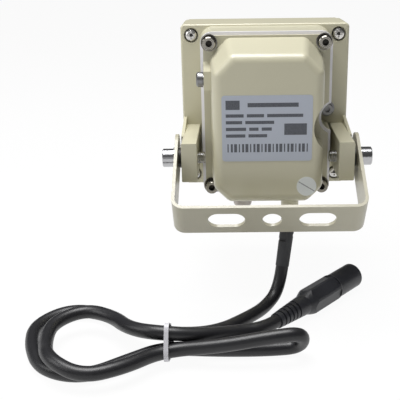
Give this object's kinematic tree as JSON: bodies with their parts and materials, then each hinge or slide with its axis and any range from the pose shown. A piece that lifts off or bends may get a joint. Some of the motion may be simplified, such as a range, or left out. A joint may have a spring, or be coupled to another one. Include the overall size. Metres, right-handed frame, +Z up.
{
  "type": "white light illuminator",
  "caption": "Square LED floodlight for a camera, on a slotted U bracket, tilting on two side pivots, with a tied lead ending in an in-line socket.",
  "frame": {"origin": "centre of the round hole in the bracket's base, on the base's outer face, which lies on the wall or post", "axes": "+Y the way the beam goes with the lamp level, +Z up, +X across the lamp; the bracket's base face looks down and back, 31.5 degrees below -Y"},
  "size_m": [0.1822, 0.1804, 0.1505],
  "materials": {
    "cream_paint": "fine powder coat, satin",
    "bracket_paint": "fine powder coat, satin",
    "pale_silicone": "matte silicone",
    "dark_rubber": "matte rubber",
    "cord_jacket": "soft satin jacket",
    "window_glass": "clear, polished",
    "lens_clear": "clear moulded",
    "lens_holder_white": "matte moulded",
    "board_white": "white solder mask",
    "phosphor": "matte",
    "thermal_pad": "matte",
    "board_green": "green solder mask",
    "transformer_tape": "wrapped tape",
    "capacitor_sleeve": "shrink sleeve",
    "terminal_green": "moulded",
    "plug_chrome": "bright plated",
    "plug_grey": "dull",
    "tie_nylon": "natural nylon",
    "socket_plastic": "moulded satin",
    "socket_metal": "bright plated",
    "steel": "stainless, satin",
    "dark_washer": "matte"
  },
  "bodies": {
    "bracket": {"bracket": "bracket_paint", "power_lead": "cord_jacket", "cable_tie": "tie_nylon", "socket_relief": "socket_plastic", "socket_grip": "socket_plastic", "socket_barrel": "socket_plastic", "socket_shell": "socket_metal", "socket_insert": "socket_plastic"},
    "lamp": {"bezel_screw_1": "steel", "bezel_screw_2": "steel", "bezel_screw_3": "steel", "bezel_screw_4": "steel", "bottom_plug": "plug_grey", "cord_boot": "dark_rubber", "cover_screw_1": "steel", "cover_screw_2": "steel", "cover_screw_3": "steel", "cover_screw_4": "steel", "cover_spring_1": "steel", "cover_spring_2": "steel", "cover_spring_3": "steel", "cover_spring_4": "steel", "cover_washer_1": "steel", "cover_washer_2": "steel", "cover_washer_3": "steel", "cover_washer_4": "steel", "driver_board": "board_green", "driver_capacitors": "capacitor_sleeve", "driver_transformer": "transformer_tape", "front_bezel": "cream_paint", "front_gasket": "dark_rubber", "housing": "cream_paint", "led_board": "board_white", "led_emitters": "phosphor", "lens_array": "lens_clear", "lens_holder": "lens_holder_white", "pivot_bolt_left": "steel", "pivot_bolt_right": "steel", "pivot_washer_left": "steel", "pivot_washer_right": "steel", "rear_cover": "cream_paint", "rear_gasket": "pale_silicone", "rub_washer_left": "dark_washer", "rub_washer_right": "dark_washer", "side_plug": "plug_chrome", "side_screw": "steel", "side_washer": "steel", "terminal_block": "terminal_green", "thermal_pad": "thermal_pad", "window_glass": "window_glass"}
  },
  "joints": [
    {"name": "tilt", "type": "hinge", "parent": "bracket", "child": "lamp", "pos_m": [-0.0012, 0.03752, 0.02299], "axis": [1, 0, 0], "range_deg": [-28, 70], "deforming": ["power_lead"]}
  ]
}
